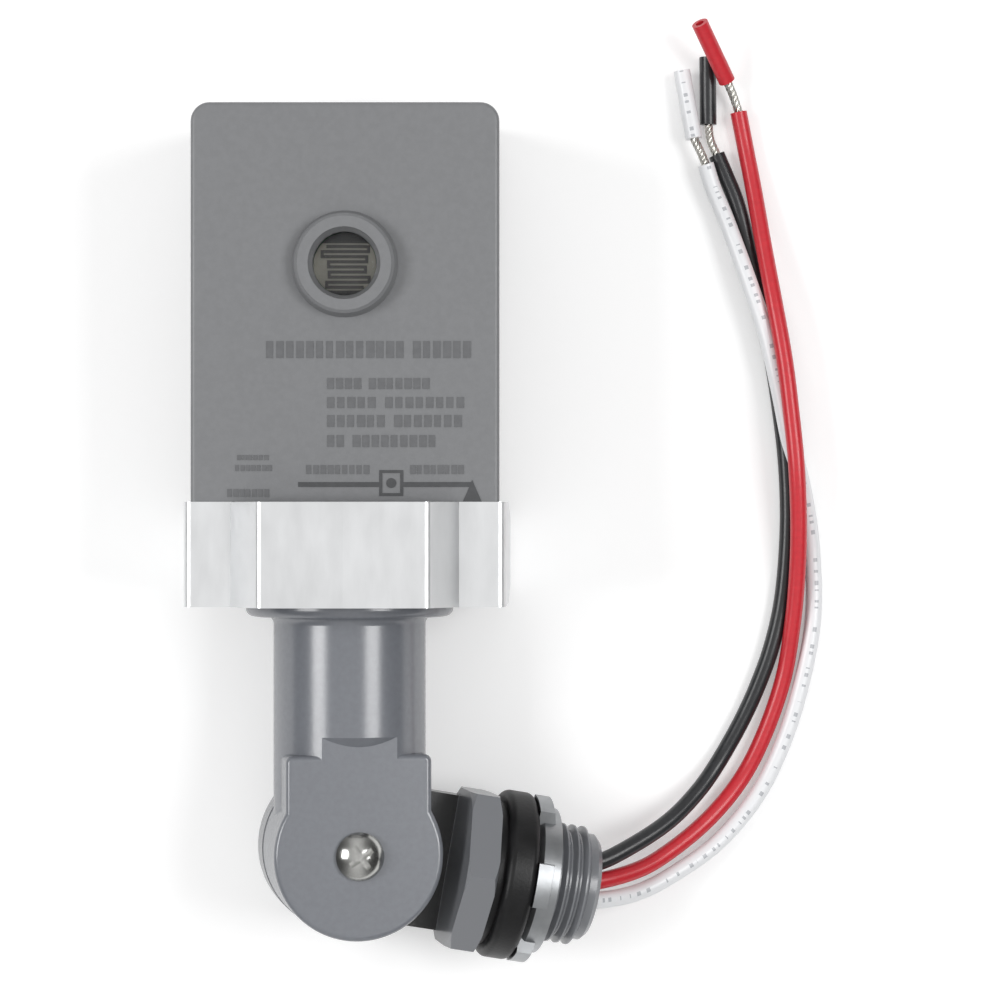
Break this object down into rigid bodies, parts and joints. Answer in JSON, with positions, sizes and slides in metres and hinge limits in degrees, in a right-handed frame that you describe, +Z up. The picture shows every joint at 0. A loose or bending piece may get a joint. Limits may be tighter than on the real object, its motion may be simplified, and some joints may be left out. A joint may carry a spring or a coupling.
{
  "type": "photocell switch",
  "caption": "Conduit-mount swivel photocell switch: box housing with a collared light sensor, sliding light shield, turning stem, half-lap knuckle, threaded nipple and bare-ended leads.",
  "frame": {"origin": "middle of the rear cover's resting face", "axes": "+Z up out of the housing's face, +Y along the housing away from the stem, +X towards the threaded nipple"},
  "size_m": [0.1118, 0.1663, 0.0468],
  "materials": {
    "housing_plastic": "satin moulded grey",
    "stem_plastic": "semi-gloss moulded grey",
    "black_rubber": "matte",
    "plated_steel": "bright zinc plate",
    "clear_window": "clear moulded",
    "cell_ceramic": "matte with metal film",
    "board_laminate": "solder mask",
    "component_black": "moulded",
    "component_red": "dipped",
    "component_blue": "dipped",
    "component_tan": "lacquered",
    "shield_aluminium": "mill finish",
    "lead_black_pvc": "extruded",
    "lead_red_pvc": "extruded",
    "lead_white_pvc": "extruded",
    "tinned_copper": "tinned"
  },
  "bodies": {
    "housing": {"front_housing": "housing_plastic", "rear_cover": "housing_plastic", "cover_seal": "black_rubber", "cover_screws": "plated_steel", "lens_window": "clear_window", "window_seal": "black_rubber", "photocell": "cell_ceramic", "circuit_board": "board_laminate", "board_screws": "plated_steel", "relay": "component_black", "dropper_capacitor": "component_red", "smoothing_capacitor": "component_black", "varistor": "component_blue", "resistors": "component_tan", "diodes": "component_black"},
    "shield": {"light_shield": "shield_aluminium"},
    "stem": {"swivel_stem": "stem_plastic", "stem_seal": "black_rubber", "stem_retainer": "plated_steel"},
    "arm": {"swivel_arm": "stem_plastic", "pivot_screw": "plated_steel", "pivot_nut": "plated_steel", "pivot_washer": "black_rubber", "seal_washer": "black_rubber", "locknut": "plated_steel", "lead_seal": "black_rubber", "lead_black": "lead_black_pvc", "lead_red": "lead_red_pvc", "lead_white": "lead_white_pvc", "strands_black": "tinned_copper", "strands_red": "tinned_copper", "strands_white": "tinned_copper", "slug_black": "lead_black_pvc", "slug_red": "lead_red_pvc", "slug_white": "lead_white_pvc"}
  },
  "joints": [
    {"name": "shield_slide", "type": "slide", "parent": "housing", "child": "shield", "axis": [0, 1, 0], "range_m": [0, 0.06]},
    {"name": "stem_swivel", "type": "hinge", "parent": "housing", "child": "stem", "pos_m": [0, -0.042, 0.0212], "axis": [0, 1, 0], "range_deg": [-101, 79]},
    {"name": "knuckle_pivot", "type": "hinge", "parent": "stem", "child": "arm", "pos_m": [0, -0.0857, 0.0212], "axis": [0.1908, 0, 0.9816], "range_deg": [-170, 10]}
  ]
}
